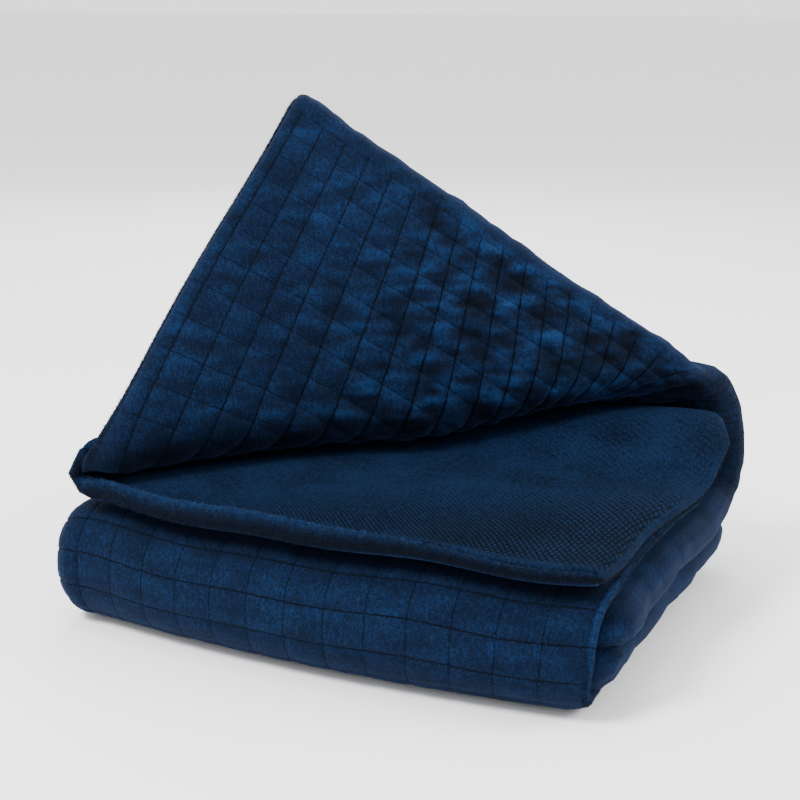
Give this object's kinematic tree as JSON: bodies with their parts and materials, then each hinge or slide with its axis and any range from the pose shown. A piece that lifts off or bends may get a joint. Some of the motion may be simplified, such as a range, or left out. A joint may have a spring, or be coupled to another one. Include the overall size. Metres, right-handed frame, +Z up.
{
  "type": "weighted blanket",
  "caption": "Folded weighted blanket of filled, quilted plush with a plain knit underside, its top corner turned back.",
  "frame": {"origin": "bottom centre of the folded blanket's box, on the surface that it lies on", "axes": "+X across the folds' width, +Y from the front fold to the back fold, +Z up"},
  "size_m": [0.4366, 0.3754, 0.3785],
  "materials": {
    "plush": "soft short pile, deep navy"
  },
  "bodies": {
    "root": {"weighted_blanket": "plush"}
  },
  "joints": []
}
